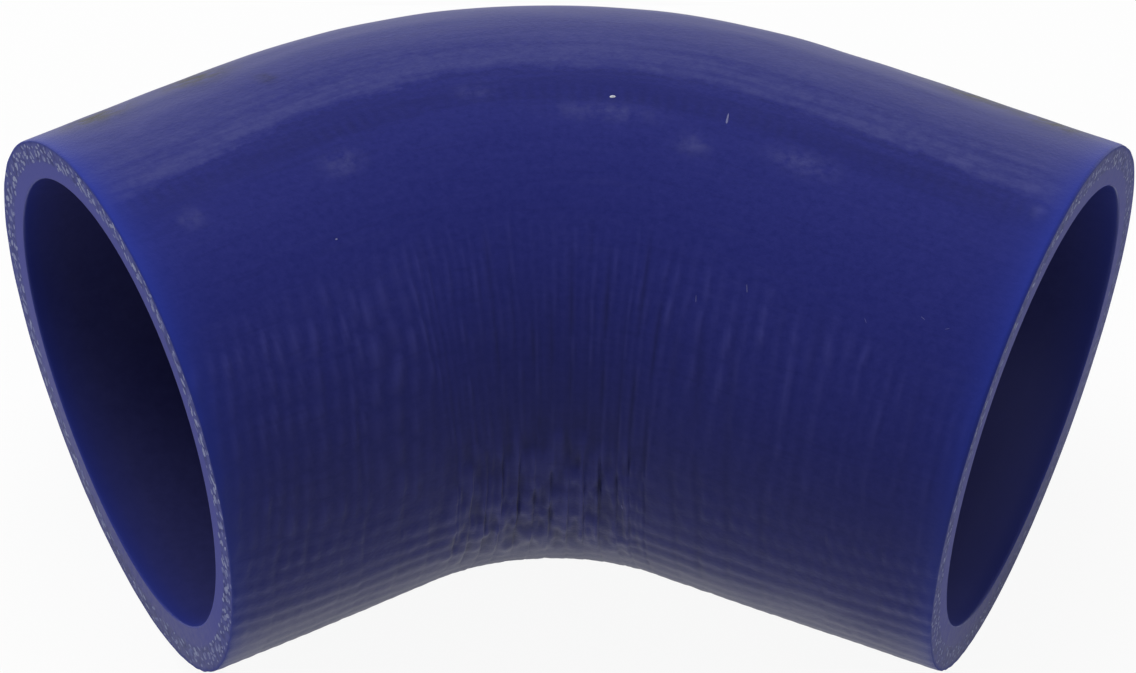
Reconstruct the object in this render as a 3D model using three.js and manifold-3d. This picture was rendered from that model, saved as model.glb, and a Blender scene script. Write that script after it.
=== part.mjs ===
// A 51 degree elbow hose of fabric reinforced silicone, of the kind that joins two metal pipes
// in an engine bay. The plies are bonded into one wall, so the hose is one piece: a hollow pipe
// with a short straight leg each side of the bend, cut off at both mouths.
// It lies on its side. X runs along its long extent, +Y towards the outside of the bend, +Z up.

import * as THREE from "three";
import { mergeVertices } from "three/addons/utils/BufferGeometryUtils.js";
import Module from "manifold-3d";

const wasm = await Module();
wasm.setup();

// Driving dimensions, in millimetres and degrees
const BORE = 55; // inside diameter
const WALL = 5; // four bonded plies
const BEND_ANGLE = 51; // how far the hose turns
const BEND_RADIUS = 57.4; // of the centreline
const LEFT_LEG = 27; // straight, from the left mouth to the bend
const RIGHT_LEG = 35.4; // straight, from the bend to the right mouth

// The mouths. A hose springs a little out of round when it comes off its mandrel, its wall is
// never quite even, and a hand cut is never quite square.
const LEFT_OVAL = 0.28; // the outside's greatest departure from its circle, twice round
const LEFT_OVAL_AT = -67; // where it is greatest, in degrees from the outside of the bend
const LEFT_EGG = 0.7; // the outside's departure three times round, blunt end to the outside
const LEFT_BORE_OVAL = 0.43;
const LEFT_BORE_OVAL_AT = -84;
const LEFT_BORE_EGG = 0.42;
const LEFT_BORE_OUT = -0.3; // the bore's centre, from the outside's centre
const LEFT_BORE_UP = 0.7;
const LEFT_CUT_TURN = 1.5; // the cut's turn about the upright, from square
const LEFT_CUT_TILT = 0.5; // the cut's lean

const RIGHT_OVAL = 0.51;
const RIGHT_OVAL_AT = -39;
const RIGHT_EGG = 0.4;
const RIGHT_BORE_OVAL = 0.43;
const RIGHT_BORE_OVAL_AT = -39;
const RIGHT_BORE_EGG = 0.42;
const RIGHT_BORE_OUT = -0.1;
const RIGHT_BORE_UP = 0.5;
const RIGHT_CUT_TURN = 1.5;

const MOUTH_REACH = 32; // how far along the hose a mouth's own shape is felt

// The creases that the shrinking wrap pressed across the inside of the bend
const CREASE_PITCH = 1.7; // along the innermost line
const CREASE_DEPTH = 0.35; // of the deepest, half way round the bend
const CREASE_REACH = 65; // each way round the wall from the innermost line, in degrees

// Fineness of the surfaces
const SIDES = 56; // round the wall
const LEG_ROWS = 5; // along each straight leg
const BORE_ROWS = 12; // along the bend, on the smooth bore

const bend = THREE.MathUtils.degToRad(BEND_ANGLE);
const bendLength = BEND_RADIUS * bend; // on the centreline
const hoseLength = LEFT_LEG + bendLength + RIGHT_LEG;
const outsideRadius = BORE / 2 + WALL;

// The forms of the two mouths, one record for the outside and one for the bore
const leftMouth = {
  outside: form(LEFT_OVAL, LEFT_OVAL_AT, LEFT_EGG, 0, 0),
  bore: form(LEFT_BORE_OVAL, LEFT_BORE_OVAL_AT, LEFT_BORE_EGG, LEFT_BORE_OUT, LEFT_BORE_UP),
  turn: slope(LEFT_CUT_TURN),
  tilt: slope(LEFT_CUT_TILT),
};
const rightMouth = {
  outside: form(RIGHT_OVAL, RIGHT_OVAL_AT, RIGHT_EGG, 0, 0),
  bore: form(RIGHT_BORE_OVAL, RIGHT_BORE_OVAL_AT, RIGHT_BORE_EGG, RIGHT_BORE_OUT, RIGHT_BORE_UP),
  turn: slope(RIGHT_CUT_TURN),
  tilt: 0,
};

function form(oval, ovalAt, egg, out, up) {
  return { oval, ovalAt: THREE.MathUtils.degToRad(ovalAt), egg, out, up };
}

function slope(degrees) {
  return Math.tan(THREE.MathUtils.degToRad(degrees));
}

// How far a mouth's outline stands off its circle, at an angle from the outside of the bend.
function departure(mouth, angle) {
  return mouth.oval * Math.cos(2 * (angle - mouth.ovalAt)) + mouth.egg * Math.cos(3 * angle);
}

// 1 at a mouth, easing to 0 where its shape is no longer felt.
function nearness(distance) {
  const share = THREE.MathUtils.clamp(distance / MOUTH_REACH, 0, 1);
  return (1 + Math.cos(Math.PI * share)) / 2;
}

// The point on a round surface of the hose, as its offsets from the centreline: out, away from
// the middle of the bend, and up. The whole section is lifted as its mouth's underside swells,
// so that the hose lies flat from end to end.
function sectionPoint(radius, surface, angle, along) {
  const point = new THREE.Vector2(radius * Math.cos(angle), radius * Math.sin(angle));
  for (const [mouth, distance] of [
    [leftMouth, along],
    [rightMouth, hoseLength - along],
  ]) {
    const share = nearness(distance);
    const own = mouth[surface];
    const swell = departure(own, angle);
    point.x += share * (swell * Math.cos(angle) + own.out);
    point.y += share * (swell * Math.sin(angle) + own.up + departure(mouth.outside, -Math.PI / 2));
  }
  return point;
}

// The hose's own bend: a point given by its distance along the centreline and its offsets from
// it goes to its place in space. The middle of the bend is at the origin of this frame.
function bent(along, out, up) {
  const past = along - LEFT_LEG;
  const round = THREE.MathUtils.clamp(past, 0, bendLength);
  const turned = Math.PI / 2 + bend / 2 - round / BEND_RADIUS;
  const outward = new THREE.Vector3(Math.cos(turned), Math.sin(turned), 0);
  const forward = new THREE.Vector3(Math.sin(turned), -Math.cos(turned), 0);
  return outward
    .multiplyScalar(BEND_RADIUS + out)
    .addScaledVector(forward, past - round)
    .setZ(up);
}

// The cuts: rows in the straight legs move along the hose until the last one lies in the cut.
function alongTheCut(along, out, up) {
  const left = THREE.MathUtils.clamp(1 - along / LEFT_LEG, 0, 1);
  const right = THREE.MathUtils.clamp(1 - (hoseLength - along) / RIGHT_LEG, 0, 1);
  return (
    along +
    left * (leftMouth.turn * out + leftMouth.tilt * up) +
    right * (rightMouth.turn * out + rightMouth.tilt * up)
  );
}

// How deep a crease is, at an angle round the wall.
function creaseShare(angle) {
  const fromInside = Math.PI - Math.abs(angle);
  const reach = THREE.MathUtils.degToRad(CREASE_REACH);
  const share = THREE.MathUtils.clamp(fromInside / reach, 0, 1);
  return (1 + Math.cos(Math.PI * share)) / 2;
}

// The rows of the outside, from the left mouth to the right one. Each crease takes three.
function outsideRows() {
  const innermost = (BEND_RADIUS - outsideRadius) * bend;
  const creases = Math.floor(innermost / CREASE_PITCH);
  const pitch = bendLength / creases;
  const rows = [];
  for (let i = 0; i < LEG_ROWS; i++) rows.push({ along: (LEFT_LEG * i) / LEG_ROWS, depth: 0 });
  for (let i = 0; i < creases; i++) {
    const middle = LEFT_LEG + (i + 0.5) * pitch;
    const depth = CREASE_DEPTH * Math.sin((Math.PI * (i + 0.5)) / creases);
    rows.push({ along: middle - pitch / 4, depth: 0 });
    rows.push({ along: middle, depth });
    rows.push({ along: middle + pitch / 4, depth: 0 });
  }
  for (let i = 1; i <= LEG_ROWS; i++)
    rows.push({ along: LEFT_LEG + bendLength + (RIGHT_LEG * i) / LEG_ROWS, depth: 0 });
  return rows;
}

// The rows of the bore, which runs past both mouths so that it cuts them open.
function boreRows() {
  const rows = [{ along: -WALL }];
  for (let i = 0; i < LEG_ROWS; i++) rows.push({ along: (LEFT_LEG * i) / LEG_ROWS });
  for (let i = 0; i < BORE_ROWS; i++) rows.push({ along: LEFT_LEG + (bendLength * i) / BORE_ROWS });
  for (let i = 0; i <= LEG_ROWS; i++)
    rows.push({ along: LEFT_LEG + bendLength + (RIGHT_LEG * i) / LEG_ROWS });
  rows.push({ along: hoseLength + WALL });
  return rows;
}

// A closed round bar with one row of corners for each entry of rows, shaped and bent by place.
function bentBar(rows, place) {
  const bar = new THREE.CylinderGeometry(1, 1, 1, SIDES, rows.length - 1);
  bar.deleteAttribute("normal");
  bar.deleteAttribute("uv");
  const corners = bar.getAttribute("position");
  const corner = new THREE.Vector3();
  for (let i = 0; i < corners.count; i++) {
    corner.fromBufferAttribute(corners, i);
    const row = rows[Math.round((0.5 - corner.y) * (rows.length - 1))];
    const rim = Math.hypot(corner.x, corner.z);
    const put = place(row, Math.atan2(corner.z, corner.x), rim);
    corners.setXYZ(i, put.x, put.y, put.z);
  }
  const merged = mergeVertices(bar);
  return new wasm.Manifold(
    new wasm.Mesh({
      numProp: 3,
      vertProperties: new Float32Array(merged.getAttribute("position").array),
      triVerts: new Uint32Array(merged.getIndex().array),
    }),
  );
}

function placeOutside(row, angle, rim) {
  const radius = outsideRadius - row.depth * creaseShare(angle);
  const point = sectionPoint(radius, "outside", angle, row.along).multiplyScalar(rim);
  return bent(alongTheCut(row.along, point.x, point.y), point.x, point.y);
}

function placeBore(row, angle, rim) {
  const point = sectionPoint(BORE / 2, "bore", angle, row.along).multiplyScalar(rim);
  return bent(row.along, point.x, point.y);
}

function hoseGeometry() {
  const solid = bentBar(outsideRows(), placeOutside).subtract(bentBar(boreRows(), placeBore));
  const mesh = solid.getMesh();
  const geometry = new THREE.BufferGeometry();
  geometry.setAttribute("position", new THREE.BufferAttribute(mesh.vertProperties, 3));
  geometry.setIndex(new THREE.BufferAttribute(mesh.triVerts, 1));
  geometry.computeVertexNormals();
  geometry.computeBoundingBox();
  return geometry;
}

const silicone = new THREE.MeshStandardMaterial({ color: 0x2a2f6c, roughness: 0.45, metalness: 0 });
const hose = new THREE.Mesh(hoseGeometry(), silicone);
hose.name = "elbow_hose";

// The part's origin is under the middle of the hose, on the surface that it lies on.
const box = hose.geometry.boundingBox;
const middle = box.getCenter(new THREE.Vector3());
hose.position.set(-middle.x, -middle.y, -box.min.z);

const part = new THREE.Group();
part.add(hose);

export default part;
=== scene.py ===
# %% [markdown]
# # A silicone elbow hose
# This lesson dresses one moulded hose. The hose is the kind that joins two metal pipes in an
# engine bay: a liner, four plies of coated polyester fabric and a thin skin, cured into one wall
# on a bent mandrel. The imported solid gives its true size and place. Here it gets the fine
# surface that a camera sees: the pressed wrap, the folds inside the bend and the cut plies.

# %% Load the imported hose
import math

import bpy
import numpy as np
from mathutils import Matrix, Vector


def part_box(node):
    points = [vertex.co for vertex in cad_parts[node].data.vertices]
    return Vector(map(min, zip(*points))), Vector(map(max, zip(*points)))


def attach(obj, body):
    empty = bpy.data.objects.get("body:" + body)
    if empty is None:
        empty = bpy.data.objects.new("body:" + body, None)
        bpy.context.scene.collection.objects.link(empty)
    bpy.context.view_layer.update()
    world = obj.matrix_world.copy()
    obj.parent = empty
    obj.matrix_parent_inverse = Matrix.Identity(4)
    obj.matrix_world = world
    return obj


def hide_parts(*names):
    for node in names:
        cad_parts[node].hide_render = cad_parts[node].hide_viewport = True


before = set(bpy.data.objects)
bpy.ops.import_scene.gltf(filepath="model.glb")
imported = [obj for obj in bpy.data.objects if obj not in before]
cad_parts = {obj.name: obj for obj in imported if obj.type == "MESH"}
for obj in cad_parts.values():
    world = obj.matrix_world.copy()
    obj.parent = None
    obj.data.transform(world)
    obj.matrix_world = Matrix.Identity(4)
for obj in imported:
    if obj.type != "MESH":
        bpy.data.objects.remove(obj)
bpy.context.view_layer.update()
hose_low, hose_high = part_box("elbow_hose")
MM = 0.001
print("packed hose, mm:", [round(c / MM, 1) for c in hose_high - hose_low])

# %% [markdown]
# The hose is a pipe round a line that runs straight, bends, and runs straight again. Any such
# pipe can be made as a curve with a round bevel. A curve gives every ring the same shape, though,
# and this hose is a little out of round at its mouths. So its points are worked out ring by ring
# from the sizes that a maker would give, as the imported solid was.

# %% The maker's sizes, in millimetres and degrees
BORE = 55
WALL = 5
BEND_ANGLE = math.radians(51)
BEND_RADIUS = 57.4
LEFT_LEG = 27
RIGHT_LEG = 35.4
OUTSIDE_RADIUS = BORE / 2 + WALL
ROUND_MM = 2 * math.pi * OUTSIDE_RADIUS
BEND_LENGTH = BEND_RADIUS * BEND_ANGLE
HOSE_LENGTH = LEFT_LEG + BEND_LENGTH + RIGHT_LEG
print("length on the centreline, mm:", round(HOSE_LENGTH, 2))


# %% A point by its place on the hose
def bent(along, out, up):
    """Places for points that are given along the centreline, out from it and up from it."""
    past = along - LEFT_LEG
    round_the_bend = np.clip(past, 0, BEND_LENGTH)
    turned = math.pi / 2 + BEND_ANGLE / 2 - round_the_bend / BEND_RADIUS
    straight = past - round_the_bend
    x = np.cos(turned) * (BEND_RADIUS + out) + np.sin(turned) * straight
    y = np.sin(turned) * (BEND_RADIUS + out) - np.cos(turned) * straight
    return np.stack([x, y, up + 0 * x], axis=-1)


print("left end of the centreline, mm:", np.round(bent(0.0, 0.0, 0.0), 1))

# %% [markdown]
# A hose springs out of round when it comes off its mandrel, its bore sits a little off centre,
# and a hand cut is never square. A modifier could squash the ends, but the sizes would then be
# hard to read back. So each mouth has its own small oval, its own egg shape and its own cut, as
# numbers. They fade out along the leg, as they do on the real thing.

# %% The shapes of the mouths
MOUTH_REACH = 32


def form(oval, oval_at, egg, out=0.0, up=0.0):
    return {"oval": oval, "oval_at": math.radians(oval_at), "egg": egg, "out": out, "up": up}


LEFT_MOUTH = {
    "outside": form(0.16, -89, 0.7),
    "bore": form(0.43, -84, 0.42, out=-0.3, up=0.7),
    "turn": math.tan(math.radians(1.5)),
    "tilt": math.tan(math.radians(0.5)),
}
RIGHT_MOUTH = {
    "outside": form(0.33, -33, 0.4),
    "bore": form(0.43, -39, 0.42, out=-0.1, up=0.5),
    "turn": math.tan(math.radians(1.5)),
    "tilt": 0.0,
}


def departure(shape, angle):
    """How far a mouth's outline stands off its circle."""
    return shape["oval"] * np.cos(2 * (angle - shape["oval_at"])) + shape["egg"] * np.cos(3 * angle)


def nearness(distance):
    """1 at a mouth, easing to 0 where its shape is no longer felt."""
    return (1 + np.cos(math.pi * np.clip(distance / MOUTH_REACH, 0, 1))) / 2


print("left mouth stands off its circle, mm:", round(float(departure(LEFT_MOUTH["outside"], 0)), 2))


# %% A section of the hose
def section(radius, surface, angle, along):
    """Offsets from the centreline, out and up, of a point on the outside or on the bore."""
    out = radius * np.cos(angle)
    up = radius * np.sin(angle)
    for mouth, distance in ((LEFT_MOUTH, along), (RIGHT_MOUTH, HOSE_LENGTH - along)):
        share = nearness(distance)
        swell = departure(mouth[surface], angle)
        lift = departure(mouth["outside"], -math.pi / 2)
        out = out + share * (swell * np.cos(angle) + mouth[surface]["out"])
        up = up + share * (swell * np.sin(angle) + mouth[surface]["up"] + lift)
    return out, up


once_round = np.linspace(0, 2 * math.pi, 360)
mouth_section = section(OUTSIDE_RADIUS, "outside", once_round, 0 * once_round)
print("left mouth, mm across and high:", [round(float(np.ptp(side)), 2) for side in mouth_section])

# %% The slant of the cuts
CUT_SPREAD = 0.2  # a cut hose springs a little longer


def along_the_cut(along, out, up):
    """Rows in the legs move along until the last one lies in the plane of the cut."""
    left = np.clip(1 - along / LEFT_LEG, 0, 1)
    right = np.clip(1 - (HOSE_LENGTH - along) / RIGHT_LEG, 0, 1)
    return (
        along
        + CUT_SPREAD * (right - left)
        + left * (LEFT_MOUTH["turn"] * out + LEFT_MOUTH["tilt"] * up)
        + right * (RIGHT_MOUTH["turn"] * out + RIGHT_MOUTH["tilt"] * up)
    )


def placed(along, out, up):
    return bent(along_the_cut(along, out, up), out, up)


left_slant = along_the_cut(0.0, OUTSIDE_RADIUS, 0.0) - along_the_cut(0.0, -OUTSIDE_RADIUS, 0.0)
print("the left cut is out of square by, mm:", round(float(left_slant), 2))

# %% [markdown]
# Before it is cured, the hose is wrapped tightly in wet tape, and the tape leaves its mark. Lines
# run round the hose about 4 mm apart, with the cloth's grain pressed in between. An even grid
# that is fine enough for the folds would have millions of faces. Here the rows follow the lines
# instead: close together at a line, where the skin folds sharply, and wider between them.

# %% The tape's lines
LEG_PITCH = 3.6
BEND_PITCH = 4.3
TAPE_JITTER = 0.16  # share of the pitch
rng = np.random.default_rng(7)


def tape_lines():
    """Where the tape's lines lie along the centreline, from before one mouth to past the other."""
    bend_count = round(BEND_LENGTH / BEND_PITCH)
    left = np.arange(LEFT_LEG, -2 * LEG_PITCH, -LEG_PITCH)[::-1]
    bend = np.linspace(LEFT_LEG, LEFT_LEG + BEND_LENGTH, bend_count + 1)[1:-1]
    right = np.arange(LEFT_LEG + BEND_LENGTH, HOSE_LENGTH + 2 * LEG_PITCH, LEG_PITCH)
    even = np.concatenate([left, bend, right])
    return even + rng.uniform(-TAPE_JITTER, TAPE_JITTER, len(even)) * LEG_PITCH


lines = tape_lines()
print("tape lines:", len(lines), "about", round(float(np.diff(lines).mean()), 1), "mm apart")

# %% [markdown]
# Round the hose, the points crowd together inside the bend, where most is to be seen. A grid
# that knows its pattern needs far fewer faces than an even one.

# %% The rows and angles of the outside
SIDES = 228
CROWDING = 0.45  # how much closer the points are inside the bend, as a share
ROW_PLACES = (0, 0.045, 0.1, 0.17, 0.26, 0.36, 0.46, 0.56, 0.66, 0.77, 0.88, 0.955)
CLEAR_OF_CUT = 0.15  # no row is closer to a cut than this, in mm


def outside_rows():
    """The rows of the grid: the same few places in the gap after each line."""
    gaps = np.diff(lines)
    in_gaps = (lines[:-1, None] + gaps[:, None] * np.array(ROW_PLACES)).ravel()
    clear = (in_gaps > CLEAR_OF_CUT) & (in_gaps < HOSE_LENGTH - CLEAR_OF_CUT)
    return np.concatenate([[0], in_gaps[clear], [HOSE_LENGTH]])


rows = outside_rows()
even_angles = np.linspace(0, 2 * math.pi, SIDES, endpoint=False)
angles = even_angles + CROWDING * np.sin(even_angles)
print("rows along the outside:", len(rows), "and round it:", SIDES)


# %% [markdown]
# Nothing made by hand is even, so the pattern needs some drift. Noise textures could give it to
# a material, but here the shape itself needs it. A smooth random field does it: random numbers
# on a coarse lattice, eased from one to the next. It closes on itself round the hose, so that no
# seam shows.

# %% A smooth random field
def ease(t):
    return t * t * (3 - 2 * t)


def drift(along, angle, cell_along, cells_round, seed):
    """A smooth random field from -1 to 1 over the hose's surface."""
    lattice_rng = np.random.default_rng(seed)
    count = int(HOSE_LENGTH / cell_along) + 4
    lattice = lattice_rng.uniform(-1, 1, (count, cells_round))
    a = np.clip(along / cell_along + 1, 0, count - 1.001)
    b = (angle / (2 * math.pi) * cells_round) % cells_round
    i, j = a.astype(int), b.astype(int)
    u, v = ease(a - i), ease(b - j)
    next_i, next_j = i + 1, (j + 1) % cells_round
    low = lattice[i, j % cells_round] * (1 - v) + lattice[i, next_j] * v
    high = lattice[next_i, j % cells_round] * (1 - v) + lattice[next_i, next_j] * v
    return low * (1 - u) + high * u


print("drift at three angles:", np.round(drift(np.full(3, 40.0), angles[:3], 9, 26, 31), 2))


# %% A lot for each cell of a pattern
def lot(*keys):
    """A random number from 0 to 1 for each cell of a pattern, the same on each run."""
    total = 0.0
    for place, key in enumerate(keys, start=1):
        total = total + (12.9898 * place + 4.137) * np.asarray(key, dtype=float)
    scattered = np.sin(total) * 43758.5453
    return scattered - np.floor(scattered)


print("lots of the first three cells:", np.round(lot(np.arange(3)), 2))

# %% [markdown]
# The relief is a sum of real things: dashes where the cloth's yarns lay across the hose, ridges
# where they lay along it, folds at the tape's lines, and the slow unevenness of a hand wrapped
# wall. A bump map could draw them all. As heights they catch the light from any side, and they
# stay true when the camera moves. First come a few ways to say where on the hose a point is.

# %% Where a point is
INNERMOST = 180  # degrees from the outside of the bend
BEND_MIDDLE = LEFT_LEG + BEND_LENGTH / 2


def span(value, start, full):
    """0 before start, easing to 1 at full."""
    return ease(np.clip((value - start) / (full - start), 0, 1))


def below_innermost(angle):
    """Degrees round the wall from the innermost line: more than 0 below it, less above it."""
    return (np.degrees(angle) % 360) - INNERMOST


def in_the_bend(along, reach):
    """1 half way round the bend, dying away over reach millimetres each way."""
    return np.exp(-(((along - BEND_MIDDLE) / reach) ** 2))


print("middle of the bend, mm along:", round(BEND_MIDDLE, 1))

# %% The lean of the tape
TAPE_LEAN = 0.19  # how far the lines lean towards the middle of the bend, for each mm up
LEAN_TOP = 75  # degrees up the wall from the innermost line, where the lean is greatest
LEAN_FULL = 22  # mm from the middle of the bend, where the lean is full
STRAIGHT_MOUTH = 40  # mm from a mouth, over which the lean dies away


def lean(along, angle):
    """How far the pattern has leant along the hose, up the wall from the innermost line."""
    up_the_wall = -below_innermost(angle)
    height = np.clip(up_the_wall, 0, LEAN_TOP) - LEAN_TOP * span(up_the_wall, LEAN_TOP + 10, 160)
    side = np.clip((along - BEND_MIDDLE) / LEAN_FULL, -1, 1)
    return TAPE_LEAN * height / 360 * ROUND_MM * side


def tape_place(along, angle):
    """A point's place among the tape's lines. The lean dies away towards the mouths."""
    from_mouth = np.minimum(along, HOSE_LENGTH - along)
    return along + lean(along, angle) * span(from_mouth, 0, STRAIGHT_MOUTH)


greatest = lean(HOSE_LENGTH, math.radians(INNERMOST - LEAN_TOP))
print("the pattern leans by up to, mm:", round(float(greatest), 1))

# %% [markdown]
# The dashes are the yarns that lay across the hose. The cloth shows as short narrow bars in
# columns, two to each line of the tape, and the bars of one column stand between those of the
# next. An array of one modelled bar would be too even, so a lot gives each bar its own strength.

# %% The dashes
DASH_LENGTH = 4.4
DASHES_A_LINE = 2


def on_right_leg(along):
    return span(along, 66, 84)


def dash_columns(along, angle):
    """Which column of dashes a point is in, and how far across it, from 0 to 1."""
    wander = 0.25 * drift(along, angle, 9, 26, 31) + 0.12 * drift(along, angle, 3, 70, 32)
    leant = along + lean(along, angle) * (1 - 0.6 * on_right_leg(along))
    row = DASHES_A_LINE * np.interp(leant, lines, np.arange(len(lines))) + wander
    column = np.floor(row)
    return column, row - column


def dashes(along, angle):
    """Short narrow bars, steeper on one side. Past the left leg every second column is weaker."""
    column, place_in = dash_columns(along, angle)
    across = span(place_in, 0.05, 0.5) * (1 - span(place_in, 0.5, 0.8))
    bars = round(ROUND_MM / DASH_LENGTH)
    place = angle / (2 * math.pi) * bars + 0.25 * (column % 2) + 0.25 * lot(column, 5)
    place = place + (0.4 + 0.5 * on_right_leg(along)) * drift(along, angle, 6, 24, 33)
    bar = np.floor(place)
    lengthwise = 0.15 + 0.85 * np.sin(math.pi * (place - bar)) ** 0.8
    past_leg = span(along, 26, 34)
    strength = 0.4 - 0.25 * past_leg + (0.6 + 0.25 * past_leg) * lot(column, bar % bars)
    strength = strength * (1 - 0.45 * past_leg * (column % 2))
    join = span(np.minimum(place - bar, 1 - place + bar), 0, 0.12)
    return across * lengthwise * (0.6 + (strength - 0.6) * join)


print("dashes round the hose:", round(ROUND_MM / DASH_LENGTH))


# %% Where the dashes show
def dashed_share(along, angle):
    """1 up the wall on the legs, less in the bend, and 0 on the back and below."""
    below = below_innermost(angle)
    weaker = 0.15 + 0.25 * span(along, 50, 70)
    top = -61 + 10 * ((along - 45) / 55) ** 2
    strong = span(below, top - 6, top + 5) * (1 - weaker * span(below, -42, -30))
    strong = strong * (1 - span(below, -12, -2))
    patchy = (0.85 + 0.3 * drift(along, angle, 8, 24, 34)) * (1.25 - 0.5 * span(along, 65, 110))
    bent_part = span(along, 23, 31) * (1 - span(along, 70, 80))
    return strong * (1 - 0.45 * bent_part) * patchy


wall_share = dashed_share(rows, np.full(len(rows), math.radians(INNERMOST - 40)))
print("dashes' share, least and most:", np.round([wall_share.min(), wall_share.max()], 2))

# %% [markdown]
# Below the dashes the yarns lay along the hose. They show as ridges with small beads on them,
# where the yarns that cross them lift the skin. The tape held each turn of the hose by itself,
# so a ridge breaks a little at each line.

# %% The ridges
BEAD_PITCH = 1.8
RIDGE_PITCH = 2.9


def ridges(along, angle):
    """Beaded ridges along the hose, from 0 to 1."""
    count = round(ROUND_MM / RIDGE_PITCH)
    band = np.searchsorted(lines, tape_place(along, angle))
    slipped = (0.2 + 0.5 * in_the_bend(along, 22)) * (lot(band, 1) - 0.5)
    place = angle / (2 * math.pi) * count + slipped + 0.25 * drift(along, angle, 8, 30, 3)
    ridge = np.floor(place + 0.5)
    beaded = 0.5 - 0.36 * span(below_innermost(angle), -8, 14)
    beads = np.cos(2 * math.pi * (along / BEAD_PITCH + lot(ridge % count, 2)))
    strength = 0.35 + 0.65 * lot(band // 2, ridge % count)
    across = (0.5 + 0.5 * np.cos(2 * math.pi * place)) ** 0.7
    return strength * (1 - beaded + beaded * beads) * across


print("ridges, if they went all round the hose:", round(ROUND_MM / RIDGE_PITCH))

# %% [markdown]
# Inside the bend the wall is squeezed shorter, so the tape folds there. Each fold is a narrow
# groove with a raised lip beside it, deep in places and nearly closed elsewhere. Up the wall the
# folds thin out to long soft lines. Between them the skin crumples. A cloth simulation would
# give folds too, but not at the tape's own lines, so they are drawn there.

# %% How strong each fold is
FOLD_MIDDLE = 50  # mm along the hose
FOLD_REACH = 24  # mm each way


def folded_part(along):
    """1 over the folded length of the bend, falling off steeply at its ends."""
    return np.exp(-(((along - FOLD_MIDDLE) / FOLD_REACH) ** 4))


def fold_shares(along, angle):
    """The distance from the nearest line, and how strong its deep fold and its soft line are."""
    place = tape_place(along, angle)
    nearest = np.argmin(np.abs(place[..., None] - lines), axis=-1)
    below = below_innermost(angle)
    top = -11 + 9 * lot(nearest, 11)
    deep = span(below, top - 8, top) * (1 - 0.85 * span(below, 14, 26))
    uneven = np.clip(0.65 + 0.75 * drift(lines[nearest], angle, 1.3, 60, 61), 0, 0.9)
    deep_share = deep * uneven * (0.1 + 0.9 * folded_part(along))
    soft_top = -70 + 22 * lot(nearest, 23)
    soft = span(below, soft_top, soft_top + 12) * (1 - span(below, 45, 70))
    patchy = np.clip(0.6 + 0.9 * drift(lines[nearest], angle, 1.3, 50, 64), 0, 1.1)
    own_strength = 0.3 + 0.7 * lot(nearest, 7)
    soft_share = soft * patchy * own_strength * (0.2 + 0.8 * in_the_bend(along - 8, 26))
    return place - lines[nearest] + 0.12 * drift(along, angle, 2.2, 60, 62), deep_share, soft_share


print("folded length of the hose, mm:", FOLD_MIDDLE - FOLD_REACH, "to", FOLD_MIDDLE + FOLD_REACH)


# %% The crumpled skin between the folds
def crumple(along, angle):
    """Small bulges of the squeezed skin, from -1 to 1."""
    below = below_innermost(angle)
    where = folded_part(along) * span(below, -26, -10) * (1 - span(below, 18, 28))
    return where * (0.7 * drift(along, angle, 2.1, 70, 71) + 0.3 * drift(along, angle, 1.1, 110, 72))


print("crumple in the middle:", np.round(crumple(np.array([BEND_MIDDLE]), np.array([math.pi])), 2))

# %% [markdown]
# The back is nearly plain. Shallow waves follow the hose where the tape slid as it was pulled,
# the woven edge of the tape's last turn left a row of small dents, and the wall spreads a little
# at each mouth. They are faint, but a wide highlight shows each of them.

# %% The back of the hose
DENT_PITCH = 1.6
DENTS_AT = 90.5  # degrees up from the innermost line
DENTS_WIDTH = 1.9
FLARE = 0.08
FLARE_AT = math.radians(50)


def long_waves(along, angle):
    """Shallow waves that follow the hose over its back."""
    from_back = 180 - np.abs(below_innermost(angle))
    back = 1 - span(from_back, 95, 115)
    return back * (0.055 * drift(along, angle, 15, 80, 81) + 0.03 * drift(along, angle, 4, 100, 82))


def tape_edge(along, angle):
    """A row of small dents from the tape's last turn, from 0 to about 1."""
    sway = 0.3 * drift(along, angle, 12, 6, 95)
    dents = 0.5 + 0.5 * np.cos(2 * math.pi * (along / DENT_PITCH + sway))
    row = np.exp(-(((below_innermost(angle) + DENTS_AT) / DENTS_WIDTH) ** 2))
    return row * dents * (0.7 + 0.4 * drift(along, angle, 5, 60, 96))


def flare(along, angle):
    """The slight spread of the wall at each mouth, on the upper back."""
    near = nearness(along) + nearness(HOSE_LENGTH - along)
    return FLARE * near * np.clip(np.cos(angle - FLARE_AT), 0, 1)


print("dents along the back:", round(HOSE_LENGTH / DENT_PITCH))

# %% [markdown]
# Now the parts are added up. Each is worked out from a point's place alone, so the same sum can
# be asked for anywhere: at the grid's points, and later under a grain of dust that lies on it.

# %% The heights of the pressed cloth and the folds
DASH_DEPTH = 0.26
RIDGE_DEPTH = 0.2
FOLD_DEPTH = 0.12
LIP_HEIGHT = 0.3
LINE_DEPTH = 0.12
LIP_AT = -0.35  # mm from the fold's line


def ridge_height(along, angle):
    """The ridges' height. In the bend they lie less straight."""
    below = below_innermost(angle)
    loose = in_the_bend(along, 20) * (1 - span(np.abs(below), 25, 50))
    moved_angle = angle + 0.012 * loose * drift(along, angle, 4.5, 50, 22)
    ridged = span(below, -19, -6) * (1 - span(below, 60, 85))
    ridged = ridged * (1 - 0.35 * span(below, 8, 20)) * (1 - 0.4 * in_the_bend(along, 20))
    return RIDGE_DEPTH * ridged * (ridges(along, moved_angle) - 0.45)


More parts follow.
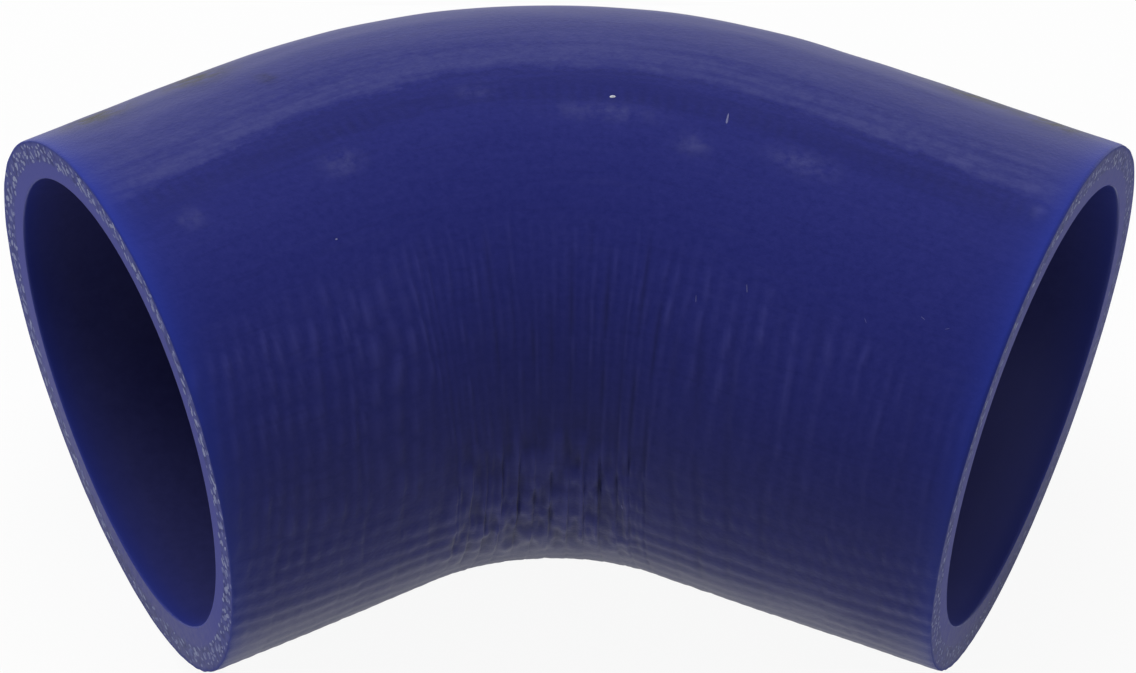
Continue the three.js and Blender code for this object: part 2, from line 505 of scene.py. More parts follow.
def fold_heights(along, angle):
    """The heights of the deep folds and of the long soft lines."""
    off, deep_share, soft_share = fold_shares(along, angle)
    groove = np.exp(-(((off - 0.08) / 0.26) ** 2))
    behind = np.exp((off - LIP_AT) / 1.1)
    before = np.exp(-(((off - LIP_AT) / 0.25) ** 2))
    lip = np.where(off < LIP_AT, behind, before)
    deep = deep_share * (LIP_HEIGHT * lip - FOLD_DEPTH * groove)
    soft = LINE_DEPTH * soft_share * (0.6 * lip - np.exp(-((off / 0.75) ** 2)))
    return deep, soft


fold_line = fold_heights(rows, np.full(len(rows), math.pi))[0]
print("folds on the innermost line, mm:", np.round([fold_line.min(), fold_line.max()], 2))

# %% The whole relief
CRUMPLE_HEIGHT = 0.4
DENT_DEPTH = 0.05
SLACK_BELOW = 0.2  # the wall bulges a little under the inside of the bend


def relief(along, angle):
    """The height of the skin over its plain form, at most a few tenths of a millimetre."""
    below = below_innermost(angle)
    deep, soft = fold_heights(along, angle)
    height = DASH_DEPTH * dashed_share(along, angle) * (dashes(along, angle) - 0.25)
    height = height + ridge_height(along, angle)
    height = height + deep
    height = height + soft
    height = height + CRUMPLE_HEIGHT * crumple(along, angle)
    height = height + long_waves(along, angle) + flare(along, angle)
    height = height - DENT_DEPTH * tape_edge(along, angle)
    height = height + 0.09 * drift(along, angle, 17, 11, 1) + 0.02 * drift(along, angle, 5, 34, 2)
    return height + SLACK_BELOW * span(below, 15, 35) * (1 - span(below, 50, 70))


inner_line = relief(rows, np.full(len(rows), math.pi))
print("relief on the innermost line, mm:", np.round([inner_line.min(), inner_line.max()], 2))

# %% [markdown]
# The whole hose is one skin without an edge: along the outside, over the cut, back through the
# bore and over the other cut. A Solidify modifier could give a sheet its thickness, but this
# wall has a bore of its own shape. So the mesh is a grid that closes both ways, and every ring
# has the same number of points. The cut edges are crisp, with the least rounding from the knife.

# %% The rows of the bore, and rows that lean
CUT_SHARES = (0.03, 0.09, 0.2, 0.34, 0.48, 0.62, 0.76, 0.89, 0.97)  # of the way over a cut
BORE_PITCH = 5.5
LIP_ROWS = (0, 0.12, 0.35, 0.9, 2.2)  # close together where the bore meets a cut
LEAN_STEPS = 40


def bore_rows():
    """The rows of the bore, close together at the mouths so that their edges stay crisp."""
    lip = np.array(LIP_ROWS)
    count = round((HOSE_LENGTH - 2 * BORE_PITCH) / BORE_PITCH) + 1
    middle = np.linspace(BORE_PITCH, HOSE_LENGTH - BORE_PITCH, count)
    return np.concatenate([lip, middle, HOSE_LENGTH - lip[::-1]])


def leaning_rows():
    """Each row's place along the hose at each angle, so that the rows follow the tape's lines."""
    row, angle = np.meshgrid(rows, angles, indexing="ij")
    along = row
    for step in range(LEAN_STEPS):
        along = along + row - tape_place(along, angle)
    return along, angle


plain_along, plain_angle = leaning_rows()
print("rows of the bore:", len(bore_rows()), "and over each cut:", len(CUT_SHARES))

# %% The points of the outside and of the bore
EDGE_ROUND = 0.08
EDGE_REACH = 0.12


def edge_rounding(along):
    edge = np.minimum(along, HOSE_LENGTH - along)
    return EDGE_ROUND * np.exp(-edge / EDGE_REACH)


def outside_points(along, angle):
    out, up = section(OUTSIDE_RADIUS, "outside", angle, along)
    proud = relief(along, angle) - edge_rounding(along)
    return placed(along, out + proud * np.cos(angle), up + proud * np.sin(angle))


def bore_points():
    along, angle = np.meshgrid(bore_rows(), angles, indexing="ij")
    out, up = section(BORE / 2, "bore", angle, along)
    rounding = edge_rounding(along)
    return placed(along, out + rounding * np.cos(angle), up + rounding * np.sin(angle))


outer = outside_points(plain_along, plain_angle)
inner = bore_points()
print("outside grid:", outer.shape[:2], "bore grid:", inner.shape[:2])


# %% Join the rings
def between(ring_a, ring_b):
    """Rings that lead over a cut from one ring to another, without those two."""
    shares = np.array(CUT_SHARES)[:, None, None]
    return ring_a + (ring_b - ring_a) * shares


CUT_RINGS = len(CUT_SHARES)
BORE_RINGS = len(inner)
right_cut = between(outer[-1], inner[-1])
left_cut = between(inner[0], outer[0])
grid = np.concatenate([outer, right_cut, inner[::-1], left_cut])
print("rings in all:", len(grid))

# %% [markdown]
# The points are worked out round the middle of the bend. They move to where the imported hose
# lies, by the box of the plain form, because the relief mustn't push the hose aside.

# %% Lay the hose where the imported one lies
plain = placed(plain_along, *section(OUTSIDE_RADIUS, "outside", plain_angle, plain_along))
plain_low = plain.reshape(-1, 3).min(0)
plain_high = plain.reshape(-1, 3).max(0)
packed_centre = (np.array(hose_low) + np.array(hose_high)) / 2 / MM
to_packed = packed_centre - (plain_low + plain_high) / 2
to_packed[2] = hose_low.z / MM - plain_low[2]
grid = (grid + to_packed) * MM
grid[..., 2] = np.maximum(grid[..., 2], hose_low.z)  # the wall is pressed flat where it rests
print("plain form, mm:", np.round(plain_high - plain_low, 2))


# %% Make the mesh
def grid_mesh(name, points):
    """A mesh that closes both ways from a grid of points."""
    rings, sides = points.shape[:2]
    i, j = np.meshgrid(np.arange(rings), np.arange(sides), indexing="ij")
    corners = (
        i * sides + j,
        i * sides + (j + 1) % sides,
        (i + 1) % rings * sides + (j + 1) % sides,
        (i + 1) % rings * sides + j,
    )
    faces = np.stack(corners, axis=-1).reshape(-1, 4)
    mesh = bpy.data.meshes.new(name)
    mesh.from_pydata(points.reshape(-1, 3).tolist(), [], faces.tolist())
    mesh.update()
    return mesh


hose_mesh = grid_mesh("silicone_hose", grid)
hose = bpy.data.objects.new("silicone_hose", hose_mesh)
bpy.context.scene.collection.objects.link(hose)
print("hose faces:", len(hose_mesh.polygons))

# %% [markdown]
# The finish changes over the hose. It could be painted on an image, but a mesh can carry the
# same facts itself, as one number for each point under a name, and a material can read them.

# %% Numbers that the mesh carries
def attribute(mesh, name, values):
    made = mesh.attributes.new(name, "FLOAT", "POINT")
    made.data.foreach_set("value", values.astype(np.float32).ravel())


def over_outside(values):
    """Values of the outside's rows, with 0 for the rest of the grid."""
    whole = np.zeros(grid.shape[:2])
    whole[: len(rows)] = values
    return whole


shares_over = np.array(CUT_SHARES)
depth = np.concatenate([np.ones(len(rows)), 1 - shares_over, np.zeros(BORE_RINGS), shares_over])
attribute(hose_mesh, "wall_depth", np.repeat(depth, SIDES))
print("wall depth, bore to skin:", depth.min(), "to", depth.max())

# %% [markdown]
# Light soaks into silicone and comes out again near an edge, which shows as a band of purer blue
# beside each cut. Real subsurface scattering would take long to render on so dark a blue. So that
# light is painted into the colour, as a glow that dies away from the edge and gives the same band.
# It reaches further into the right bore.

# %% The painted glow beside the cuts
GLOW_REACH = 2.1
RIGHT_BORE_GLOW_REACH = 3.5

bore_along = bore_rows()[::-1]
left_bore_glow = np.exp(-bore_along / GLOW_REACH)
right_bore_glow = np.exp(-(HOSE_LENGTH - bore_along) / RIGHT_BORE_GLOW_REACH)
bore_glow = np.maximum(left_bore_glow, right_bore_glow)
skin_glow = np.exp(-np.minimum(rows, HOSE_LENGTH - rows) / GLOW_REACH)
cut_glow = np.ones(CUT_RINGS)
glow = np.concatenate([skin_glow, cut_glow, bore_glow, cut_glow])
attribute(hose_mesh, "edge_glow", np.repeat(glow, SIDES))
print("glow 5 mm from a cut:", round(math.exp(-5 / GLOW_REACH), 2))

# %% [markdown]
# Handling leaves its own marks: a few dull smudges on the back, powdery spots where something
# rubbed, and one small dark pit. Each is a soft oval at its own place.

# %% Smudges, powder and a pit
SMUDGES = (  # along, angle, half length in mm, half width in degrees
    (8, 47, 4, 7),
    (21, 48, 4, 7),
    (96, 46, 5, 6),
    (106, 47, 4, 6),
)
POWDER = (  # the same four numbers
    (59.5, 94, 5.5, 1.8),
    (84, 96, 3.5, 2.4),
    (71, 99, 2, 2),
    (27, 97.5, 2.2, 2.5),
    (8, 97.5, 1.5, 1.8),
    (45, 87.5, 1.5, 1.8),
    (9.6, 65, 1.5, 1.6),
    (108.6, 83, 1.4, 1.4),
    (110.6, 88.7, 0.9, 1.3),
    (100, 82.5, 3, 0.9),
)
PIT = ((26, 65.7, 0.8, 2.2),)


def spots(places):
    """Soft oval spots on the outside, each from its place and its half sizes."""
    total = np.zeros(plain_along.shape)
    for at, angle_at, length, width in places:
        far = ((plain_along - at) / length) ** 2
        far = far + ((np.degrees(plain_angle) - angle_at) / width) ** 2
        total += np.exp(-far)
    return np.clip(total, 0, 1)


attribute(hose_mesh, "smudge", over_outside(spots(SMUDGES)))
attribute(hose_mesh, "powder", over_outside(spots(POWDER)))
print("smudges:", len(SMUDGES), "powdery spots:", len(POWDER), "pits:", len(PIT))

# %% [markdown]
# High places get a painted highlight, and low ones painted shade. Since the relief is made of
# named parts, the same parts say where: the yarns and the folds' lips on one side, the folds'
# bottoms and the hollows between the bulges on the other.

# %% Painted highlight on high places
HIGHLIGHT_BESIDE = 0.2  # mm that the painted highlight lies beside the top of a dash, on its lit side
LIP_HIGHLIGHT_AT = -0.6  # mm from the fold's line


def painted_highlight(along, angle):
    """Painted highlight on the lit sides of the cloth's high yarns, the folds' lips and the bulges.
    """
    below = below_innermost(angle)
    ridged = span(below, -16, -4) * (1 - span(below, 60, 80))
    dashed = 1.2 * dashed_share(along, angle) * dashes(along + HIGHLIGHT_BESIDE, angle)
    ridge = 0.45 * ridged * ridges(along, angle) * (1 - 0.4 * in_the_bend(along, 20))
    off, deep_share, soft_share = fold_shares(along, angle)
    lips = np.exp(-(((off - LIP_HIGHLIGHT_AT) / 0.5) ** 2)) * (1.3 * deep_share + 0.25 * soft_share)
    return np.clip(np.maximum(dashed, ridge) + lips + 0.8 * crumple(along, angle), 0, 1)


painted_highlight_here = painted_highlight(plain_along, plain_angle)
attribute(hose_mesh, "painted_highlight", over_outside(painted_highlight_here))
# the share of the skin with painted highlight
print("share of the skin that is rubbed:", round(float((painted_highlight_here > 0.2).mean()), 2))

# %% Painted shade in the low places
HOLLOW_SHADE = 0.22
PIT_DARKNESS = 1.8  # more than 1, so that the pit is dark to near its edge


def painted_shade_and_dark_pit(along, angle):
    """Painted shade in the folds, between the bulges and in the tape's dents."""
    off, deep_share, soft_share = fold_shares(along, angle)
    line = np.exp(-((off / 0.4) ** 2))
    wide_line = np.exp(-((off / 0.65) ** 2))
    below = below_innermost(angle)
    hollow = HOLLOW_SHADE * in_the_bend(along, 20) * span(below, -60, -35)
    hollow = hollow * (1 - span(below, -16, -6))
    shade_here = 0.3 * line * deep_share + 0.45 * wide_line * soft_share - 0.8 * crumple(along, angle)
    return np.clip(shade_here + hollow + 0.4 * tape_edge(along, angle), 0, 1)


# the pit's darkness is added to the painted shade
in_the_pit = np.clip(PIT_DARKNESS * spots(PIT), 0, 1)
shade_and_pit = np.maximum(painted_shade_and_dark_pit(plain_along, plain_angle), in_the_pit)
attribute(hose_mesh, "painted_shade_and_dark_pit", over_outside(shade_and_pit))
# the share of the skin with painted shade or the dark pit
print("share of the skin that is dirty:", round(float((shade_and_pit > 0.1).mean()), 2))

# %% [markdown]
# The white floor lights and mirrors the hose's lower side. That light is painted in as a paler
# colour: under the bend, on the lower part of both cuts, and a little way into the right bore.

# %% Painted light from the floor
RIGHT_BORE_FLOOR_LIGHT_REACH = 24  # mm into the bore


def painted_floor_light(along, angle):
    """The painted paleness of the underside inside the bend, where the white floor is mirrored."""
    below = below_innermost(angle) + 5 * drift(along, angle, 9, 24, 92)
    unevenness = 0.8 + 0.2 * drift(along, angle, 6, 30, 91)
    return span(below, 8, 26) * (1 - span(below, 60, 85)) * unevenness


def floor_light_of_all_rings():
    """The painted floor light on the outside, then on the right cut, in the bore and on the left
    cut.
    """
    floor_lit = over_outside(painted_floor_light(plain_along, plain_angle))
    right_cut_end = len(rows) + CUT_RINGS
    bore_end = right_cut_end + BORE_RINGS
    low_side = span(-np.sin(angles), 0.1, 1.0)
    low_in_bore = span(-np.sin(angles), 0.35, 1.0)
    into_bore = HOSE_LENGTH - bore_along[:, None]
    floor_lit[len(rows) : right_cut_end] = 0.35 + 0.65 * low_side
    floor_lit[right_cut_end:bore_end] = np.exp(-into_bore / RIGHT_BORE_FLOOR_LIGHT_REACH) * low_in_bore
    floor_lit[bore_end:] = 0.75 * low_side
    return floor_lit


floor_lit_rings = floor_light_of_all_rings()
attribute(hose_mesh, "painted_floor_light", floor_lit_rings)
# the share of the hose with painted floor light
print("share of the hose that is dusty:", round(float((floor_lit_rings > 0.2).mean()), 2))

# %% [markdown]
# The overhead softbox's broad reflection on the back of this hose is painted into the skin's
# colour as a pale band, which ends in a soft edge along the hose. The mesh says how far a point is
# across that edge, and the material does the rest.

# %% The edge of the painted reflection
REFLECTION_EDGE = 81  # degrees from the outside of the bend, half way along the hose
REFLECTION_INSIDE = 30  # degrees that are told inside the edge
REFLECTION_WIDTH = 45  # degrees that are told in all


def across_painted_reflection_edge(along, angle):
    """0 to 1 from well inside the painted reflection's edge to a little outside it."""
    degrees = np.degrees(angle) % 360
    from_back = np.minimum(degrees, 360 - degrees)
    edge = REFLECTION_EDGE + 4.5 * ((along - 60) / 54) ** 2 + 0.7 * drift(along, angle, 11, 5, 51)
    return np.clip((from_back - edge + REFLECTION_INSIDE) / REFLECTION_WIDTH, 0, 1)


attribute(hose_mesh, "across_painted_reflection", over_outside(across_painted_reflection_edge(plain_along, plain_angle)))
# the edge of the painted reflection, in degrees each way from the back
print("bloom, degrees each way from the back:", REFLECTION_EDGE)

# %% [markdown]
# The skin, the cuts and the bore get a material each. On one mesh that is a number for each
# face, which stands for the place of its material in the list.

# %% Which face has which finish
SKIN, CUT, BORE_WALL = 0, 1, 2
FINISH_ORDER = [SKIN, CUT, BORE_WALL, CUT]
rings_each = [len(rows) - 1, CUT_RINGS + 1, BORE_RINGS - 1, CUT_RINGS + 1]
ring_finish = np.repeat(FINISH_ORDER, rings_each)
face_finish = np.repeat(ring_finish, SIDES).astype(np.int32)
hose_mesh.polygons.foreach_set("material_index", face_finish)
hose_mesh.polygons.foreach_set("use_smooth", np.ones(len(hose_mesh.polygons), dtype=bool))
print("faces of the skin, the cuts and the bore:", np.bincount(face_finish))

# %% [markdown]
# Blender keeps the grid's length and angle as a UV map. Unwrapping would do it with a seam to
# choose, but the grid already knows both numbers. The skin's finest streaks are drawn on this
# map, so that they follow the hose round its bend as the real cloth does.

# %% A map of the surface
MAP_UNIT = 100  # mm of hose for one unit of the map

uv = hose_mesh.uv_layers.new(name="hose_length_and_round")
other_along = np.concatenate([np.full(CUT_RINGS, HOSE_LENGTH), bore_along, np.zeros(CUT_RINGS)])
grid_along = np.concatenate([plain_along, np.repeat(other_along[:, None], SIDES, axis=1)])
loop_vertex = np.empty(len(hose_mesh.loops), dtype=np.int32)
hose_mesh.loops.foreach_get("vertex_index", loop_vertex)
loop_ring, loop_side = loop_vertex // SIDES, loop_vertex % SIDES
face_side = np.repeat(np.tile(np.arange(SIDES), grid.shape[0]), 4)
wrapped = loop_side + SIDES * (loop_side < face_side)
side_angles = np.append(angles, 2 * math.pi)
map_round = side_angles[wrapped] * OUTSIDE_RADIUS
uv_values = np.stack([grid_along[loop_ring, loop_side], map_round], axis=-1) / MAP_UNIT
uv.uv.foreach_set("vector", uv_values.astype(np.float32).ravel())
print("map, in tenths of a metre:", np.round(uv_values.max(0), 3))


# %% [markdown]
# Shaders are trees of nodes. They can be drawn by hand in the node editor. In a script a few
# short helpers keep each tree readable: one makes a node and sets its values, one links two
# sockets, and the rest name what is done most.

# %% Make and link nodes
def new_material(name):
    material = bpy.data.materials.new(name)
    material.use_nodes = True
    tree = material.node_tree
    shader = tree.nodes["Principled BSDF"]
    return material, tree, shader


def node(tree, kind, values=(), **settings):
    """A new node with its settings, and the values of its named inputs."""
    made = tree.nodes.new(kind)
    for key, value in settings.items():
        setattr(made, key, value)
    for key, value in dict(values).items():
        made.inputs[key].default_value = value
    return made


def link(tree, source, target):
    tree.links.new(source, target)


print("materials before the first one is made:", len(bpy.data.materials))


# %% Mix colours and numbers
def mixed(tree, share, colour_a, colour_b):
    """A colour between two, by a socket from 0 to 1. Each colour is a socket or three numbers."""
    mix = node(tree, "ShaderNodeMix", data_type="RGBA")
    link(tree, share, mix.inputs["Factor"])
    sockets = [s for s in mix.inputs if s.type == "RGBA"]
    for socket, colour in zip(sockets, (colour_a, colour_b)):
        if isinstance(colour, tuple):
            socket.default_value = (*colour, 1)
        else:
            link(tree, colour, socket)
    return [s for s in mix.outputs if s.type == "RGBA"][0]


def ranged(tree, source, low, high, to_low=0.0, to_high=1.0):
    """source's range low to high, stretched to another one and held inside it."""
    limits = {"From Min": low, "From Max": high, "To Min": to_low, "To Max": to_high}
    stretch = node(tree, "ShaderNodeMapRange", limits)
    link(tree, source, stretch.inputs["Value"])
    return stretch.outputs["Result"]


def reckoned(tree, operation, socket_a, socket_b):
    """Two sockets added, multiplied or compared."""
    made = node(tree, "ShaderNodeMath", operation=operation)
    link(tree, socket_a, made.inputs[0])
    link(tree, socket_b, made.inputs[1])
    return made.outputs[0]


def times(tree, socket_a, socket_b):
    return reckoned(tree, "MULTIPLY", socket_a, socket_b)


print("helpers for mixing:", mixed.__name__, ranged.__name__, reckoned.__name__, times.__name__)


# %% Read places, numbers and noise
def place_in_metres(tree):
    return node(tree, "ShaderNodeTexCoord").outputs["Object"]


def noise(tree, coordinates, scale, detail=2.0, roughness=0.5):
    """Blender's noise. Its scale is in cells a metre, so 1000 gives spots of 1 mm."""
    values = {"Scale": scale, "Detail": detail, "Roughness": roughness}
    made = node(tree, "ShaderNodeTexNoise", values)
    link(tree, coordinates, made.inputs["Vector"])
    return made.outputs["Fac"]


def stretched(tree, along_scale, round_scale):
    """The hose's own map, scaled apart along it and round it."""
    hose_map = node(tree, "ShaderNodeUVMap", uv_map="hose_length_and_round")
    scaled = node(tree, "ShaderNodeMapping", {"Scale": (along_scale, round_scale, 1)})
    link(tree, hose_map.outputs["UV"], scaled.inputs["Vector"])
    return scaled.outputs["Vector"]


def mark(tree, name):
    return node(tree, "ShaderNodeAttribute", attribute_name=name).outputs["Fac"]


def fine_bump(tree, shader, height, strength, distance):
    """A grain that is too fine for the mesh. Its distance is in metres."""
    bump = node(tree, "ShaderNodeBump", {"Strength": strength, "Distance": distance})
    link(tree, height, bump.inputs["Height"])
    link(tree, bump.outputs["Normal"], shader.inputs["Normal"])


print("numbers that materials can read:", [a.name for a in hose_mesh.attributes][-8:])

# %% [markdown]
# The skin is dark ultramarine silicone with a satin finish. A single colour would look like
# paint. So fine clouds and threads vary the blue, and the numbers on the mesh paint highlights on
# the lit sides of the cloth's yarns and painted shade in the folds.

# %% The blue of the skin
SKIN_BLUE = (0.0105, 0.0145, 0.138)
SKIN_CLOUD = (0.0205, 0.0245, 0.178)
HIGHLIGHT_BLUE = (0.036, 0.040, 0.215)
SHADE_AND_PIT_BLUE = (0.005, 0.007, 0.060)


def cloth_blue(tree, where):
    clouds = noise(tree, where, 1200, 4, 0.65)
    colour = mixed(tree, ranged(tree, clouds, 0.25, 0.75), SKIN_BLUE, SKIN_CLOUD)
    threads = noise(tree, stretched(tree, 14, 170), 1.0, 2, 0.5)
    colour = mixed(tree, ranged(tree, threads, 0.5, 0.75, 0, 0.35), colour, SKIN_CLOUD)
    # painted highlight on the lit sides of the yarns, the folds' lips and the bulges
    colour = mixed(tree, mark(tree, "painted_highlight"), colour, HIGHLIGHT_BLUE)
    # painted shade in the folds, hollows and dents, and the dark pit
    return mixed(tree, mark(tree, "painted_shade_and_dark_pit"), colour, SHADE_AND_PIT_BLUE)


# the skin's blue and the blue of the painted highlight
print("skin's blue:", SKIN_BLUE, "and where it is rubbed:", HIGHLIGHT_BLUE)

# %% [markdown]
# The painted reflection is pale on the back and has a few thin darker streaks of painted shade
# beside its edge. A colour ramp holds its paleness across the edge, and noise stretched along the
# hose breaks it up.

# %% The painted reflection's paleness across its edge
REFLECTION_PROFILE = (  # degrees from the painted reflection's edge, and paleness, where 0.3 is the plain skin
    (-30, 0.80),
    (-25, 0.80),
    (-24, 0.50),
    (-23, 0.85),
    (-18, 0.80),
    (-17, 0.60),
    (-16, 0.80),
    (-9, 0.82),
    (-7.8, 0.55),
    (-6.5, 0.88),
    (-1.5, 0.95),
    (0.5, 0.55),
    (1.6, 0.12),
    (3.0, 0.22),
    (5.0, 0.12),
    (9.0, 0.16),
    (13, 0.3),
)


def reflection_profile(tree, place):
    """The paleness across the painted reflection's edge, read from a ramp."""
    ramp = node(tree, "ShaderNodeValToRGB")
    link(tree, place, ramp.inputs["Fac"])
    stops = ramp.color_ramp.elements
    while len(stops) < len(REFLECTION_PROFILE):
        stops.new(1.0)
    for stop, (degrees, paleness) in zip(stops, REFLECTION_PROFILE):
        stop.position = (degrees + REFLECTION_INSIDE) / REFLECTION_WIDTH
        stop.color = (paleness, paleness, paleness, 1)
    return ramp.outputs["Color"]


print("stops of the bloom's ramp:", len(REFLECTION_PROFILE))

# %% The painted reflection and its dark streaks
REFLECTION_BLUE = (0.048, 0.053, 0.202)
REFLECTION_STREAK_BLUE = (0.0085, 0.0115, 0.110)


def with_painted_reflection(tree, where, colour):
    """The colour with the painted reflection over it, and how much of it there is."""
    ragged = ranged(tree, noise(tree, where, 500, 4, 0.7), 0.3, 0.7, -0.03, 0.03)
    across = reckoned(tree, "ADD", mark(tree, "across_painted_reflection"), ragged)
    long_streaks = noise(tree, stretched(tree, 6, 90), 1.0, 4, 0.6)
    streaked = ranged(tree, long_streaks, 0.35, 0.65, 0.6, 1.3)
    paleness = times(tree, reflection_profile(tree, across), streaked)
    patchy = ranged(tree, noise(tree, where, 700, 4, 0.7), 0.35, 0.62, 0.38, 1.05)
    reflection_here = times(tree, ranged(tree, paleness, 0.33, 1.0), patchy)
    colour = mixed(tree, reflection_here, colour, REFLECTION_BLUE)
    # dark streaks of painted shade beside the painted reflection's edge
    streak = ranged(tree, paleness, 0.24, 0.0, 0, 0.8)
    return mixed(tree, streak, colour, REFLECTION_STREAK_BLUE), reflection_here


# the painted reflection's blue and its dark streaks of painted shade
print("bloom:", REFLECTION_BLUE, "and its dark streaks:", REFLECTION_STREAK_BLUE)

# %% [markdown]
# Over all that lie powder, painted light from the floor, a painted glow beside the cuts, and
# smudges. Each colour is laid on by its number on the mesh. For the powder, the floor light and
# the smudges, a noise breaks that number up, so that its edge looks ragged and not airbrushed.

# %% Powder, painted floor light, painted glow and smudges on the skin
POWDER_BLUE = (0.060, 0.065, 0.225)
SKIN_FLOOR_LIGHT = (0.160, 0.165, 0.290)
EDGE_GLOW_BLUE = (0.020, 0.035, 0.290)
SMUDGE_GREY = (0.006, 0.006, 0.001)


def soiled(tree, where, colour):
    specks = ranged(tree, noise(tree, where, 700, 3, 0.6), 0.35, 0.62, 0.05, 0.8)
    colour = mixed(tree, times(tree, mark(tree, "powder"), specks), colour, POWDER_BLUE)
    # painted light from the white floor on the underside, broken up by noise
    patchy_floor_light = ranged(tree, noise(tree, where, 900, 4, 0.7), 0.3, 0.6, 0.6, 1.0)
    colour = mixed(tree, times(tree, mark(tree, "painted_floor_light"), patchy_floor_light), colour, SKIN_FLOOR_LIGHT)
    # painted glow of the light that the silicone scatters out near the cuts
    colour = mixed(tree, mark(tree, "edge_glow"), colour, EDGE_GLOW_BLUE)
    worn = ranged(tree, noise(tree, where, 700, 3), 0.3, 0.55)
    return mixed(tree, times(tree, mark(tree, "smudge"), worn), colour, SMUDGE_GREY)


# the colour of the painted floor light on the skin
print("bench dust on the skin:", SKIN_FLOOR_LIGHT)

# %% [markdown]
# Silicone bends light less than most plastics, so it looks deep and dark face on and pale only
# at a grazing angle. That is a low specular level, with a little sheen for the dust. The grain
# of the skin is finer than its faces, so it is the one thing left to a bump.

# %% The skin's gloss
SKIN_ROUGH = 0.48
REFLECTION_BAND_ROUGH = 0.6
SKIN_SPECULAR = 0.16
SKIN_SHEEN = 0.3
SHEEN_ROUGH = 0.35


def skin_material():
    material, tree, shader = new_material("blue_silicone_skin")
    where = place_in_metres(tree)
    # the overhead softbox's broad reflection is painted into the colour, and the skin is duller
    # there
    colour, reflection_here = with_painted_reflection(tree, where, cloth_blue(tree, where))
    link(tree, soiled(tree, where, colour), shader.inputs["Base Color"])
    matt = ranged(tree, reflection_here, 0, 1, SKIN_ROUGH, REFLECTION_BAND_ROUGH)
    link(tree, matt, shader.inputs["Roughness"])
    shader.inputs["Specular IOR Level"].default_value = SKIN_SPECULAR
    shader.inputs["Sheen Weight"].default_value = SKIN_SHEEN
    shader.inputs["Sheen Roughness"].default_value = SHEEN_ROUGH
    fine_bump(tree, shader, noise(tree, where, 2000, 4, 0.65), 0.5, 0.0001)
    return material


hose_mesh.materials.append(skin_material())
print("nodes in the skin's finish:", len(hose_mesh.materials[SKIN].node_tree.nodes))

# %% [markdown]
# A cut face is paler and duller than the skin, because the knife leaves it finely torn. The
# liner, next to the bore, is plain. The outer half holds the plies, with small dark pits where
# the knife pulled at the yarns. The depth in the wall tells the material which is which.

# %% The cut faces' finish
CUT_LINER = (0.090, 0.097, 0.400)
CUT_PLIES = (0.092, 0.103, 0.365)
CUT_PIT = (0.040, 0.048, 0.200)
CUT_FLOOR_LIGHT = (0.225, 0.230, 0.385)
PLIES_FROM = 0.44  # share of the wall, from the bore


def cut_material():
    material, tree, shader = new_material("cut_silicone")
    where = place_in_metres(tree)
    wall_depth = mark(tree, "wall_depth")
    in_plies = ranged(tree, wall_depth, PLIES_FROM - 0.04, PLIES_FROM + 0.06)
    colour = mixed(tree, in_plies, CUT_LINER, CUT_PLIES)
    pits = ranged(tree, noise(tree, where, 1000, 2), 0.42, 0.64, 0, 0.75)
    colour = mixed(tree, times(tree, pits, in_plies), colour, CUT_PIT)
    # painted floor light on the lower part of the cut
    patchy_floor_light = ranged(tree, noise(tree, where, 1100, 3), 0.3, 0.7, 0.35, 0.8)
    colour = mixed(tree, times(tree, mark(tree, "painted_floor_light"), patchy_floor_light), colour, CUT_FLOOR_LIGHT)
    # painted glow of scattered light along the cut's outer edge
    glowing_skin_edge = ranged(tree, wall_depth, 0.9, 1.0, 0, 0.85)
    link(tree, mixed(tree, glowing_skin_edge, colour, EDGE_GLOW_BLUE), shader.inputs["Base Color"])
    shader.inputs["Roughness"].default_value = 0.7
    shader.inputs["Specular IOR Level"].default_value = 0.12
    fine_bump(tree, shader, noise(tree, where, 1800, 3), 0.4, 0.0001)
    return material


hose_mesh.materials.append(cut_material())
print("nodes in the cuts' finish:", len(hose_mesh.materials[CUT].node_tree.nodes))

# %% [markdown]
# The bore was cured against a polished mandrel, so it is smooth and even. Deep inside, little
# light reaches it. That darkness could be painted in, but it is left to the renderer, so that it
# stays right when the view or the light changes.

# %% The bore's finish
BORE_BLUE = (0.038, 0.040, 0.155)
BORE_CLOUD = (0.050, 0.052, 0.190)
BORE_EDGE_GLOW = (0.026, 0.041, 0.310)
BORE_FLOOR_LIGHT = (0.190, 0.200, 0.560)


def bore_material():
    material, tree, shader = new_material("blue_silicone_bore")
    where = place_in_metres(tree)
    mottle = ranged(tree, noise(tree, where, 700, 5, 0.7), 0.3, 0.7)
    colour = mixed(tree, mottle, BORE_BLUE, BORE_CLOUD)
    # painted floor light on the lower side of the right bore
    colour = mixed(tree, mark(tree, "painted_floor_light"), colour, BORE_FLOOR_LIGHT)
    # painted glow of scattered light just inside each mouth
    colour = mixed(tree, mark(tree, "edge_glow"), colour, BORE_EDGE_GLOW)
    link(tree, colour, shader.inputs["Base Color"])
    uneven_gloss = ranged(tree, noise(tree, where, 200, 3), 0.3, 0.7, 0.34, 0.44)
    link(tree, uneven_gloss, shader.inputs["Roughness"])
    shader.inputs["Specular IOR Level"].default_value = 0.2
    fine_bump(tree, shader, noise(tree, where, 1400, 2), 0.15, 0.00005)
    return material


hose_mesh.materials.append(bore_material())
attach(hose, "root")
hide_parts("elbow_hose")
print("finishes on the hose:", [m.name for m in hose_mesh.materials])

# %% [markdown]
# Where the knife went through the four plies, the ends of their yarns stand out, pale as the
# polyester they are. They could be dots in the cut's material, but a real yarn end is a small
# lump. So each one is a lens of eight sides, half sunk in the cut, and all of them are one mesh.

# %% A mesh of small lenses
LENS_SIDES = 8


